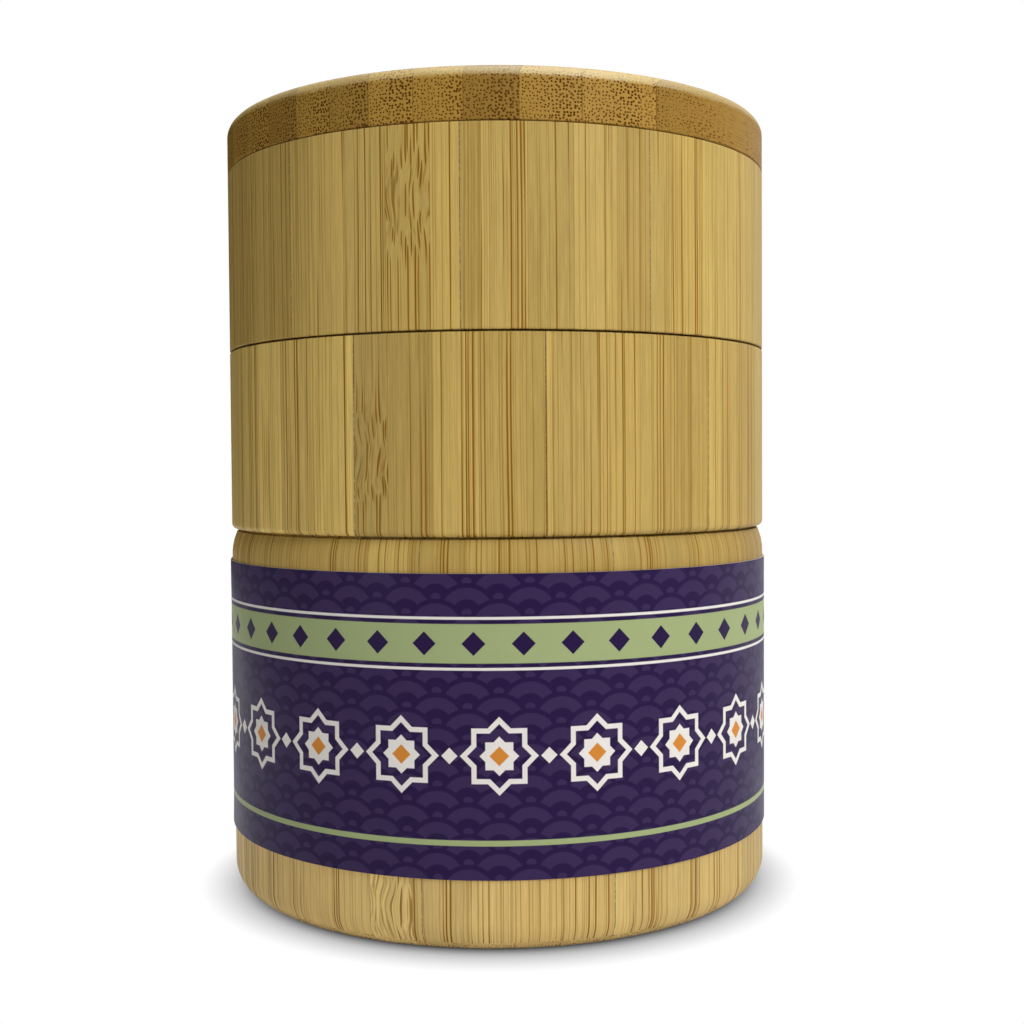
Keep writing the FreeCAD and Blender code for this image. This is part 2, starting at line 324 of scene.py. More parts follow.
    fibre = add(tree, VECTOR, {0: given["Fibre"], "Scale": fibre_shade}, operation="SCALE")[0]

    # Thin amber glue lines between the strips
    to_middle = add(tree, MATH, (share, 0.5), operation="SUBTRACT")[0]
    to_middle = add(tree, MATH, (to_middle,), operation="ABSOLUTE")[0]
    glue_from = 0.5 - GLUE_LINE_MM / STRIP_WIDTH_MM
    glue = add(tree, RANGE, (to_middle, glue_from, 0.5, 0.0, GLUE_STRENGTH),
               interpolation_type="SMOOTHSTEP")[0]
    marks = add(tree, MATH, (marks, glue), operation="MAXIMUM")[0]
    colour = add(tree, MIX, {0: marks, 6: ground, 7: fibre}, data_type="RGBA")[2]
    height = add(tree, MATH, (streak, STREAK_HEIGHT), operation="MULTIPLY")[0]
    height = add(tree, MATH, (height, marks), operation="SUBTRACT")[0]
    add(tree, "NodeGroupOutput", (colour, marks, height))
    return tree


bamboo_grain = bamboo_grain_group()

# Oiled bamboo: its roughness and specular level on the walls, on the lid and on the lid's polished corner
BAMBOO_IOR = 1.5
WALL_FINISH = (0.5, 0.2)
LID_FINISH = (0.48, 0.1)
CORNER_POLISH = (0.52, 1.0)
MARK_ROUGHNESS = 0.1
GRAIN_DEPTH = 0.02 * MM
GRAIN_BUMP = 0.4

# Glue joints between the staves
JOINT_LINE_MM = 0.13
JOINT_CORE = 0.3
JOINT_STRENGTH = 0.75
JOINT_DOT_MM = 0.5
JOINT_DOT_NOISE = (0.35, 0.55)
JOINT_DOT_STRENGTH = (0.35, 1.0)

# Where a surface turns, by how far it faces up or along the fibres, or by how far a wall is drawn in
TURNED_DEPTH_MM = (1.0, 1.7)
RIM_FACING = (0.4, 0.95)
END_GRAIN_FACING = (0.12, 0.6)
LONG_GRAIN_FACING = (0.05, 0.3)
CORNER_FACING = (0.03, 0.3)
FACE_FACING = (0.8, 0.97)
# How far marks fade on the lid's rounded corner, partly wear and partly painted highlight
CORNER_WEAR_AND_HIGHLIGHT = 0.7
BUNDLE_SPREAD = 0.93

# The base's tall staves carry painted light and shade: paler at the foot for light from the floor, darker and
# warmer at the mouth under the middle tray
MOUTH_RISE_MM = (15.0, 60.0)
PAINTED_MOUTH_SHADE = {"base": 0.2, "middle_tray": 0.0, "top_tray": 0.0}
PAINTED_MOUTH_WARMTH = 0.15

# Paler ground at the foot of the base's staves, a painted light thrown up from the floor
PAINTED_BOUNCE_GROUND = srgb("#DEC07A")
WALL_GROUND = srgb("#DDBE6C")
WALL_FIBRE = srgb("#8C5F06")
JOINT_COLOUR = srgb("#4A3E38")
LID_GROUND = srgb("#B99040")
LID_FIBRE = srgb("#653A00")
# Paler ground on the lid's rounded corner, a painted highlight
CORNER_HIGHLIGHT_GROUND = srgb("#C6A756")
NO_KNUCKLE = (-99, 0.0)


def bamboo_finish(tree, colour, grain, roughness, specular):
    """Ends a bamboo material: sanded and thinly oiled, a soft satin sheen over grain that can be felt."""
    roughness = add(tree, MATH, (grain["Marks"], MARK_ROUGHNESS, roughness), operation="MULTIPLY_ADD")[0]
    bump = add(tree, BUMP, {"Strength": GRAIN_BUMP, "Distance": GRAIN_DEPTH, "Height": grain["Height"]})[0]
    surface = add(tree, PRINCIPLED, {
        "Base Color": colour, "Roughness": roughness, "Normal": bump, "IOR": BAMBOO_IOR,
        "Specular IOR Level": specular,
    })[0]
    add(tree, MATERIAL_OUTPUT, {"Surface": surface})


def bamboo_stave(name, middle_angle, first_edge, seed, look, knuckle, painted_mouth_shade):
    """Side-glued bamboo of one stave: upright fibres, and a dark speckled glue joint along its two edges."""
    material, tree = new_material(name)
    place = add(tree, COORDINATES)
    in_mm = add(tree, VECTOR, {0: place["Object"], "Scale": 1 / MM}, operation="SCALE")[0]

    # The lines run straight over a wall that is drawn in a little, and break into dots where it turns under
    level_place = add(tree, VECTOR, (in_mm, (1.0, 1.0, 0.0)), operation="MULTIPLY")[0]
    radius = add(tree, VECTOR, (level_place,), operation="LENGTH")["Value"]
    drawn_in = add(tree, MATH, (OUTER_RADIUS_MM, radius), operation="SUBTRACT")[0]
    kept = add(tree, RANGE, (drawn_in, *TURNED_DEPTH_MM, 1.0, 0.0), interpolation_type="SMOOTHSTEP")[0]
    pushed = add(tree, MATH, (drawn_in, kept), operation="MULTIPLY")[0]
    pushed = add(tree, MATH, (pushed, radius), operation="DIVIDE")[0]
    pushed = add(tree, VECTOR, {0: level_place, "Scale": pushed}, operation="SCALE")[0]
    straight = add(tree, VECTOR, (in_mm, pushed), operation="ADD")[0]
    section = add(tree, "ShaderNodeVectorRotate", {"Vector": straight, "Angle": -math.radians(middle_angle)},
                  rotation_type="Z_AXIS")[0]
    facing_up = add(tree, SPLIT, (place["Normal"],))["Z"]
    facing_up = add(tree, MATH, (facing_up,), operation="ABSOLUTE")[0]
    end_grain = add(tree, RANGE, (facing_up, *RIM_FACING, 0.0, 1.0), interpolation_type="SMOOTHSTEP")[0]

    # Painted light and shade on a tall stave: paler at its foot for light from the floor, and darker and
    # warmer towards its mouth under the tray above
    tone, warmth = look
    ground = WALL_GROUND
    if painted_mouth_shade:
        height = add(tree, SPLIT, (in_mm,))["Z"]
        rise = add(tree, RANGE, (height, *MOUTH_RISE_MM, 0.0, 1.0))[0]
        tone = add(tree, RANGE, (rise, 0.0, 1.0, tone, tone * (1 - painted_mouth_shade)))[0]
        warmth = add(tree, MATH, (rise, PAINTED_MOUTH_WARMTH, warmth), operation="MULTIPLY_ADD")[0]
        ground = add(tree, MIX, {0: rise, 6: PAINTED_BOUNCE_GROUND, 7: WALL_GROUND}, data_type="RGBA")[2]
    grain = add(tree, "ShaderNodeGroup", {
        "Section": section, "First edge": first_edge, "Seed": seed, "Tone": tone, "Warmth": warmth,
        "Variation": 1.0, "Knuckle strip": knuckle[0], "Knuckle height": knuckle[1], "End grain": end_grain,
        "Fibre shift": (0.0, 0.0, 0.0), "Wear and highlight": 0.0, "Ground": ground, "Fibre": WALL_FIBRE,
    }, node_tree=bamboo_grain)

    # Distance from the nearer of the stave's two joints
    half_angle = math.radians(STAVE_ANGLE / 2)
    across, depth, _ = add(tree, SPLIT, (section,))[:]
    across = add(tree, MATH, (across,), operation="ABSOLUTE")[0]
    from_middle = add(tree, MATH, (across, math.cos(half_angle)), operation="MULTIPLY")[0]
    to_joint = add(tree, MATH, (depth, -math.sin(half_angle)), operation="MULTIPLY")[0]
    to_joint = add(tree, MATH, (to_joint, from_middle), operation="SUBTRACT")[0]
    joint = add(tree, RANGE, (to_joint, JOINT_CORE * JOINT_LINE_MM, JOINT_LINE_MM, JOINT_STRENGTH, 0.0),
                interpolation_type="SMOOTHSTEP")[0]
    speckle = add(tree, NOISE, {"Vector": in_mm, "Scale": 1 / JOINT_DOT_MM, "Detail": 1.0})["Fac"]
    speckle = add(tree, RANGE, (speckle, *JOINT_DOT_NOISE, *JOINT_DOT_STRENGTH))[0]
    joint = add(tree, MATH, (joint, speckle), operation="MULTIPLY")[0]
    colour = add(tree, MIX, {0: joint, 6: grain["Colour"], 7: JOINT_COLOUR}, data_type="RGBA")[2]
    bamboo_finish(tree, colour, grain, *WALL_FINISH)
    return material


def bamboo_panel(name, grain_angle, first_edge, seed, look, variation, line_fade, ground, fibre, finish,
                 polish):
    """Bamboo strips glued into a flat panel: long grain on its faces and dotted end grain round its edge."""
    material, tree = new_material(name)
    place = add(tree, COORDINATES)
    in_mm = add(tree, VECTOR, {0: place["Object"], "Scale": 1 / MM}, operation="SCALE")[0]
    turned = add(tree, "ShaderNodeVectorRotate", {"Vector": in_mm, "Angle": math.radians(grain_angle)},
                 rotation_type="Z_AXIS")[0]
    across, along, depth = add(tree, SPLIT, (turned,))[:]
    section = add(tree, JOIN, (across, depth, along))[0]
    fibre_line = (math.sin(math.radians(grain_angle)), math.cos(math.radians(grain_angle)), 0.0)
    facing = add(tree, VECTOR, (place["Normal"], fibre_line), operation="DOT_PRODUCT")["Value"]
    facing = add(tree, MATH, (facing,), operation="ABSOLUTE")[0]
    end_grain = add(tree, RANGE, (facing, *END_GRAIN_FACING, 0.0, 1.0), interpolation_type="SMOOTHSTEP")[0]

    # Bundles stand closer together towards the outer strips. The rounded corner is polished and has a painted
    # highlight: it is paler, and its marks fade partly by wear and partly by that painted highlight. The
    # lines fade where the edge runs along the fibres
    off_middle = add(tree, MATH, (across, BUNDLE_SPREAD / OUTER_RADIUS_MM), operation="MULTIPLY")[0]
    spread = add(tree, MATH, (off_middle,), operation="ARCSINE")[0]
    spread = add(tree, MATH, (spread, off_middle), operation="SUBTRACT")[0]
    spread = add(tree, MATH, (spread, OUTER_RADIUS_MM / BUNDLE_SPREAD), operation="MULTIPLY")[0]
    shift = add(tree, JOIN, (spread, 0.0, 0.0))[0]
    facing_up = add(tree, SPLIT, (place["Normal"],))["Z"]
    corner = add(tree, RANGE, (facing_up, *CORNER_FACING, 0.0, 1.0), interpolation_type="SMOOTHSTEP")[0]
    side = add(tree, RANGE, (facing_up, *FACE_FACING, 1.0, 0.0), interpolation_type="SMOOTHSTEP")[0]
    corner = add(tree, MATH, (corner, side), operation="MULTIPLY")[0]
    wear_and_highlight = add(tree, MATH, (corner, CORNER_WEAR_AND_HIGHLIGHT), operation="MULTIPLY")[0]
    faded = add(tree, RANGE, (facing, *LONG_GRAIN_FACING, line_fade, 0.0), interpolation_type="SMOOTHSTEP")[0]
    wear_and_highlight = add(tree, MATH, (wear_and_highlight, faded), operation="MAXIMUM")[0]
    ground = add(tree, MIX, {0: corner, 6: ground, 7: CORNER_HIGHLIGHT_GROUND}, data_type="RGBA")[2]
    grain = add(tree, "ShaderNodeGroup", {
        "Section": section, "First edge": first_edge, "Seed": seed, "Tone": look[0], "Warmth": look[1],
        "Variation": variation, "Knuckle strip": NO_KNUCKLE[0], "Knuckle height": NO_KNUCKLE[1],
        "End grain": end_grain, "Fibre shift": shift, "Wear and highlight": wear_and_highlight, "Ground": ground, "Fibre": fibre,
    }, node_tree=bamboo_grain)
    roughness, specular = finish
    if polish:
        roughness = add(tree, RANGE, (corner, 0.0, 1.0, roughness, polish[0]))[0]
        specular = add(tree, RANGE, (corner, 0.0, 1.0, specular, polish[1]))[0]
    bamboo_finish(tree, grain["Colour"], grain, roughness, specular)
    return material


def give(node, material):
    """Puts one material on a CAD node."""
    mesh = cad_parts[node].data
    mesh.materials.clear()
    mesh.materials.append(material)


# Staves whose glue lines, colour or knuckle show in the photograph: strip edge from the stave's left joint in
# degrees, tone and warmth, and the knuckle's strip (counted from that edge) and height
SEEN_STAVES = {
    "top_tray_stave_09": (4.0, (0.86, 0.1), NO_KNUCKLE),
    "top_tray_stave_10": (5.1, (0.96, 0.06), (2, 119.0)),
    "top_tray_stave_01": (3.6, (0.84, 0.1), NO_KNUCKLE),
    "top_tray_stave_02": (5.0, (0.9, 0.0), NO_KNUCKLE),
    "middle_tray_stave_10": (0.2, (1.12, -0.08), NO_KNUCKLE),
    "middle_tray_stave_01": (7.0, (0.86, 0.12), (-1, 79.0)),
    "middle_tray_stave_02": (1.4, (0.9, 0.04), NO_KNUCKLE),
    "base_stave_09": (4.0, (1.24, -0.02), NO_KNUCKLE),
    "base_stave_10": (0.0, (1.14, 0.0), (3, 7.0)),
    "base_stave_01": (0.0, (1.02, 0.04), NO_KNUCKLE),
    "base_stave_02": (3.0, (0.98, 0.04), NO_KNUCKLE),
}

# The other staves' values are drawn by chance from these ranges
CHANCE_EDGE_ANGLES = (0.0, 8.4)
CHANCE_TONES = (0.86, 1.04)
CHANCE_WARMTHS = (-0.04, 0.1)
CHANCE_KNUCKLE_STRIPS = (0, 4)
CHANCE_KNUCKLE_HEIGHTS_MM = (-60.0, 200.0)
SEEDS_PER_TIER = 20.0
chances = random.Random(7)


def stave_edge(edge_angle):
    """Where a strip starts across a stave, from an angle counted from the stave's left joint."""
    return OUTER_RADIUS_MM * math.sin(math.radians(edge_angle - STAVE_ANGLE / 2))


for tier_number, (tier, first_joint) in enumerate(FIRST_JOINT_ANGLES.items()):
    for number in range(1, STAVE_COUNT + 1):
        stave = f"{tier}_stave_{number:02d}"
        chance_edge = chances.uniform(*CHANCE_EDGE_ANGLES)
        chance_look = (chances.uniform(*CHANCE_TONES), chances.uniform(*CHANCE_WARMTHS))
        chance_knuckle = (chances.randint(*CHANCE_KNUCKLE_STRIPS),
                          chances.uniform(*CHANCE_KNUCKLE_HEIGHTS_MM))
        edge_angle, look, knuckle = SEEN_STAVES.get(stave, (chance_edge, chance_look, chance_knuckle))
        middle_angle = first_joint + STAVE_ANGLE * (number - 0.5)
        seed = SEEDS_PER_TIER * tier_number + number
        give(stave, bamboo_stave(f"bamboo_{stave}", middle_angle, stave_edge(edge_angle), seed, look, knuckle,
                                 PAINTED_MOUTH_SHADE[tier]))

# Floors: the angle of their grain, and a seed
FLOOR_GRAIN = {"base": (-8.0, 71.0), "middle_tray": (21.0, 72.0), "top_tray": (-37.0, 73.0)}
FLOOR_FIRST_EDGE_MM = 2.0
FLOOR_LOOK = (0.97, 0.03)
for tier, (grain_angle, seed) in FLOOR_GRAIN.items():
    give(f"{tier}_floor", bamboo_panel(
        f"bamboo_{tier}_floor", grain_angle, FLOOR_FIRST_EDGE_MM, seed, FLOOR_LOOK,
        variation=1.0, line_fade=0.0, ground=WALL_GROUND, fibre=WALL_FIBRE, finish=WALL_FINISH, polish=None))

# Lid: a seed, how far lines fade on its edge, and the tone and warmth of its lamellas from the left
LID_SEED = 3.0
LID_LINE_FADE = 0.6
LAMELLA_LOOKS = (
    (0.95, 0.1), (1.0, 0.0), (0.92, 0.12), (1.0, 0.05), (1.0, 0.02), (0.86, 0.14), (1.0, 0.04),
    (0.86, 0.06), (1.04, 0.0), (0.98, 0.0), (0.82, 0.16), (0.96, 0.0), (1.0, -0.04), (0.84, 0.18),
)
for number, look in enumerate(LAMELLA_LOOKS, 1):
    lamella = f"lid_lamella_{number:02d}"
    give(lamella, bamboo_panel(
        f"bamboo_{lamella}", LID_GRAIN_ANGLE, LID_FIRST_EDGE_MM, LID_SEED, look,
        variation=0.0, line_fade=LID_LINE_FADE, ground=LID_GROUND, fibre=LID_FIBRE, finish=LID_FINISH,
        polish=CORNER_POLISH))


# Pins and magnets

# Real grinding lines and orange peel are finer than these, which are drawn coarser so that they show
GRINDING_LINES_PER_MM = (0.06, 0.06, 6.0)
STEEL_COLOUR = srgb("#B4B5B8")
STEEL_ROUGHNESS = (0.22, 0.36)
STEEL_BUMP = 0.2
PEEL_BUMPS_PER_MM = 1.1
NICKEL_COLOUR = srgb("#C9C3B6")
NICKEL_ROUGHNESS = (0.28, 0.38)
NICKEL_BUMP = 0.05
METAL_NOISE = (0.3, 0.7)
METAL_BUMP_DEPTH = 0.01 * MM


def ground_steel():
    """A ground dowel pin: hardened steel with fine grinding lines round it, which stretch its highlight."""
    material, tree = new_material("ground_steel")
    place = add(tree, COORDINATES)["Object"]
    lines_per_metre = tuple(lines / MM for lines in GRINDING_LINES_PER_MM)
    lines = add(tree, VECTOR, (place, lines_per_metre), operation="MULTIPLY")[0]
    lines = add(tree, NOISE, {"Vector": lines, "Scale": 1.0, "Detail": 2.0})["Fac"]
    roughness = add(tree, RANGE, (lines, *METAL_NOISE, *STEEL_ROUGHNESS))[0]
    bump = add(tree, BUMP, {"Strength": STEEL_BUMP, "Distance": METAL_BUMP_DEPTH, "Height": lines})[0]
    surface = add(tree, PRINCIPLED, {"Base Color": STEEL_COLOUR, "Metallic": 1.0, "Roughness": roughness,
                                     "Normal": bump})[0]
    add(tree, MATERIAL_OUTPUT, {"Surface": surface})
    return material


def nickel_plate():
    """A nickel-plated magnet: satin, faintly warm metal with a slight orange peel in its plating."""
    material, tree = new_material("nickel_plate")
    place = add(tree, COORDINATES)["Object"]
    peel = add(tree, NOISE, {"Vector": place, "Scale": PEEL_BUMPS_PER_MM / MM, "Detail": 1.0})["Fac"]
    roughness = add(tree, RANGE, (peel, *METAL_NOISE, *NICKEL_ROUGHNESS))[0]
    bump = add(tree, BUMP, {"Strength": NICKEL_BUMP, "Distance": METAL_BUMP_DEPTH, "Height": peel})[0]
    surface = add(tree, PRINCIPLED, {"Base Color": NICKEL_COLOUR, "Metallic": 1.0, "Roughness": roughness,
                                     "Normal": bump})[0]
    add(tree, MATERIAL_OUTPUT, {"Surface": surface})
    return material


steel = ground_steel()
nickel = nickel_plate()
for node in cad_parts:
    if node.endswith("_pin"):
        give(node, steel)
    if node.endswith("_magnet"):
        give(node, nickel)


# Printed sleeve

# Print: round scales in rows, a green band with diamonds and white rules, a row of stars, and a lower rule.
# Reaches are counted from a shape's middle to its edge.
SCALES_ROUND = 32
SCALE_ROWS_PER_WIDTH = 4
SCALE_RINGS = 3
RING_EDGE = (0.5, 0.6)
BAND_MIDDLE_MM = 49.7
BAND_REACH_MM = 3.1
BAND_RULE_GAP_MM = 0.9
BAND_RULE_REACH_MM = 0.22
DIAMONDS_ROUND = 40
DIAMOND_REACH_MM = 1.9
STARS_ROUND = 20
STAR_HEIGHT_MM = 32.0
STAR_OUTLINE_MM = 4.0
STAR_OUTLINE_REACH_MM = 0.4
STAR_HEART_REACH_MM = 2.2
STAR_JEWEL_REACH_MM = 1.1
LINK_REACH_MM = 1.3
LOWER_RULE_MM = 18.2
LOWER_RULE_REACH_MM = 0.45
PRINT_EDGE_MM = 0.05
PRINT_PURPLE = srgb("#261442")
PRINT_VIOLET = srgb("#392952")
PRINT_WHITE = srgb("#EFEAE4")
PRINT_GREEN = srgb("#A5B27E")
PRINT_ORANGE = srgb("#DB8C36")
PAPER_CORE = srgb("#D8D0D4")
PAPER_SPECULAR = 0.1
PAPER_ROUGHNESS = (0.38, 0.48)
PAPER_BUMP = 0.2
COCKLE_NOISE = (0.3, 0.7)
COCKLE_MM = 14.0
COCKLE_DEPTH = 0.3 * MM
SLEEVE_ROUND_MM = 2 * math.pi * (SLEEVE_INSIDE + PAPER_THICKNESS) / MM


def ink_edge(reach):
    """Where the ink of a printed shape starts and ends to fade, for a slightly soft edge at its reach."""
    return reach - PRINT_EDGE_MM, reach + PRINT_EDGE_MM


def coated_paper():
    """Gloss-coated paper, offset-printed: sea-wave scales in two purples under rows of simple ornament.

    The coating gives it a soft sheen, and the cut edges show the paper's pale core.
    """
    material, tree = new_material("coated_paper")
    place = add(tree, COORDINATES)
    in_mm = add(tree, VECTOR, {0: place["Object"], "Scale": 1 / MM}, operation="SCALE")[0]
    x, y, z = add(tree, SPLIT, (in_mm,))[:]
    back = add(tree, MATH, (y, -1.0), operation="MULTIPLY")[0]
    angle = add(tree, MATH, (x, back), operation="ARCTAN2")[0]
    turn = add(tree, MATH, (angle, 2 * math.pi), operation="DIVIDE")[0]

    # Rows of round scales, each row over the one above it, with rings inside each scale
    width = SLEEVE_ROUND_MM / SCALES_ROUND
    row_height = width / SCALE_ROWS_PER_WIDTH
    column = add(tree, MATH, (turn, SCALES_ROUND), operation="MULTIPLY")[0]
    row = add(tree, MATH, (z, row_height), operation="DIVIDE")[0]
    lowest = add(tree, MATH, (row,), operation="FLOOR")[0]
    nearest = 1.0
    for step in (2, 1, 0, -1):
        centre = add(tree, MATH, (lowest, step), operation="ADD")[0]
        odd = add(tree, MATH, (centre, 2.0), operation="FLOORED_MODULO")[0]
        shift = add(tree, MATH, (odd, 0.5, column), operation="MULTIPLY_ADD")[0]
        side = add(tree, MATH, (shift,), operation="FRACT")[0]
        side = add(tree, MATH, (side, 0.5), operation="SUBTRACT")[0]
        side = add(tree, MATH, (side, 2.0), operation="MULTIPLY")[0]
        up = add(tree, MATH, (row, centre), operation="SUBTRACT")[0]
        up = add(tree, MATH, (up, 2.0 / SCALE_ROWS_PER_WIDTH), operation="MULTIPLY")[0]
        spot = add(tree, JOIN, (side, up, 0.0))[0]
        reach = add(tree, VECTOR, (spot,), operation="LENGTH")["Value"]
        inside = add(tree, MATH, (reach, 1.0), operation="LESS_THAN")[0]
        nearest = add(tree, MIX, {0: inside, 2: nearest, 3: reach})[0]
    ring = add(tree, MATH, (nearest, SCALE_RINGS), operation="MULTIPLY")[0]
    ring = add(tree, MATH, (ring, 1.0), operation="PINGPONG")[0]
    ring = add(tree, RANGE, (ring, *RING_EDGE, 1.0, 0.0))[0]
    colour = add(tree, MIX, {0: ring, 6: PRINT_PURPLE, 7: PRINT_VIOLET}, data_type="RGBA")[2]

    # Green band with purple diamonds and white rules, and a green rule near the foot
    from_band = add(tree, MATH, (z, BAND_MIDDLE_MM), operation="SUBTRACT")[0]
    from_band = add(tree, MATH, (from_band,), operation="ABSOLUTE")[0]
    from_rule = add(tree, MATH, (z, LOWER_RULE_MM), operation="SUBTRACT")[0]
    from_rule = add(tree, MATH, (from_rule,), operation="ABSOLUTE")[0]
    green = add(tree, RANGE, (from_band, *ink_edge(BAND_REACH_MM), 1.0, 0.0))[0]
    rule = add(tree, RANGE, (from_rule, *ink_edge(LOWER_RULE_REACH_MM), 1.0, 0.0))[0]
    green = add(tree, MATH, (green, rule), operation="MAXIMUM")[0]
    colour = add(tree, MIX, {0: green, 6: colour, 7: PRINT_GREEN}, data_type="RGBA")[2]
    bead = add(tree, MATH, (turn, DIAMONDS_ROUND), operation="MULTIPLY")[0]
    bead = add(tree, MATH, (bead,), operation="FRACT")[0]
    bead = add(tree, MATH, (bead, 0.5), operation="SUBTRACT")[0]
    bead = add(tree, MATH, (bead,), operation="ABSOLUTE")[0]
    bead_round = SLEEVE_ROUND_MM / DIAMONDS_ROUND
    diamond = add(tree, MATH, (bead, bead_round, from_band), operation="MULTIPLY_ADD")[0]
    diamond = add(tree, RANGE, (diamond, *ink_edge(DIAMOND_REACH_MM), 1.0, 0.0))[0]
    colour = add(tree, MIX, {0: diamond, 6: colour, 7: PRINT_PURPLE}, data_type="RGBA")[2]

    # Eight-pointed stars, each two squares laid over each other, with small diamonds between them
    star_round = SLEEVE_ROUND_MM / STARS_ROUND
    star_turn = add(tree, MATH, (turn, STARS_ROUND), operation="MULTIPLY")[0]
    star_turn = add(tree, MATH, (star_turn, 0.5), operation="PINGPONG")[0]
    aside = add(tree, MATH, (star_turn, star_round), operation="MULTIPLY")[0]
    between = add(tree, MATH, (star_round / 2, aside), operation="SUBTRACT")[0]
    above = add(tree, MATH, (z, STAR_HEIGHT_MM), operation="SUBTRACT")[0]
    above = add(tree, MATH, (above,), operation="ABSOLUTE")[0]
    square = add(tree, MATH, (aside, above), operation="MAXIMUM")[0]
    tilted = add(tree, MATH, (aside, above), operation="ADD")[0]
    tilted = add(tree, MATH, (tilted, math.sqrt(0.5)), operation="MULTIPLY")[0]
    star = add(tree, MATH, (square, tilted), operation="MINIMUM")[0]
    from_line = add(tree, MATH, (star, STAR_OUTLINE_MM), operation="SUBTRACT")[0]
    from_line = add(tree, MATH, (from_line,), operation="ABSOLUTE")[0]
    white = add(tree, RANGE, (from_line, *ink_edge(STAR_OUTLINE_REACH_MM), 1.0, 0.0))[0]
    heart = add(tree, RANGE, (star, *ink_edge(STAR_HEART_REACH_MM), 1.0, 0.0))[0]
    white = add(tree, MATH, (white, heart), operation="MAXIMUM")[0]
    small = add(tree, MATH, (between, above), operation="ADD")[0]
    small = add(tree, RANGE, (small, *ink_edge(LINK_REACH_MM), 1.0, 0.0))[0]
    white = add(tree, MATH, (white, small), operation="MAXIMUM")[0]
    from_edge = add(tree, MATH, (from_band, BAND_REACH_MM + BAND_RULE_GAP_MM), operation="SUBTRACT")[0]
    from_edge = add(tree, MATH, (from_edge,), operation="ABSOLUTE")[0]
    edge_rule = add(tree, RANGE, (from_edge, *ink_edge(BAND_RULE_REACH_MM), 1.0, 0.0))[0]
    white = add(tree, MATH, (white, edge_rule), operation="MAXIMUM")[0]
    colour = add(tree, MIX, {0: white, 6: colour, 7: PRINT_WHITE}, data_type="RGBA")[2]
    orange = add(tree, RANGE, (tilted, *ink_edge(STAR_JEWEL_REACH_MM), 1.0, 0.0))[0]
    colour = add(tree, MIX, {0: orange, 6: colour, 7: PRINT_ORANGE}, data_type="RGBA")[2]

    # Pale core on the cut edges, and a slight cockle in the sheet
    cut = add(tree, SPLIT, (place["Normal"],))["Z"]
    cut = add(tree, MATH, (cut,), operation="ABSOLUTE")[0]
    cut = add(tree, MATH, (cut, 0.5), operation="GREATER_THAN")[0]
    colour = add(tree, MIX, {0: cut, 6: colour, 7: PAPER_CORE}, data_type="RGBA")[2]
    cockle = add(tree, NOISE, {"Vector": in_mm, "Scale": 1 / COCKLE_MM, "Detail": 2.0})["Fac"]
    gloss = add(tree, RANGE, (cockle, *COCKLE_NOISE, *PAPER_ROUGHNESS))[0]
    bump = add(tree, BUMP, {"Strength": PAPER_BUMP, "Distance": COCKLE_DEPTH, "Height": cockle})[0]
    surface = add(tree, PRINCIPLED, {"Base Color": colour, "Roughness": gloss, "Normal": bump,
                                     "Specular IOR Level": PAPER_SPECULAR})[0]
    add(tree, MATERIAL_OUTPUT, {"Surface": surface})
    return material


# Wound sleeve: where its edges are free to lift, how they ripple, and the turn in which it rises to its lap
PATH_POINTS = 480
SHEET_CUTS = 11
FREE_EDGE_SHARES = (0.36, 0.5)
RIPPLES_PER_METRE = 26.0
RIPPLE_NOISE = (0.45, 0.75)
RISE_TURN = 0.06
EDGE_LIFT = 0.25 * MM
RIPPLE_SEED = 4.0


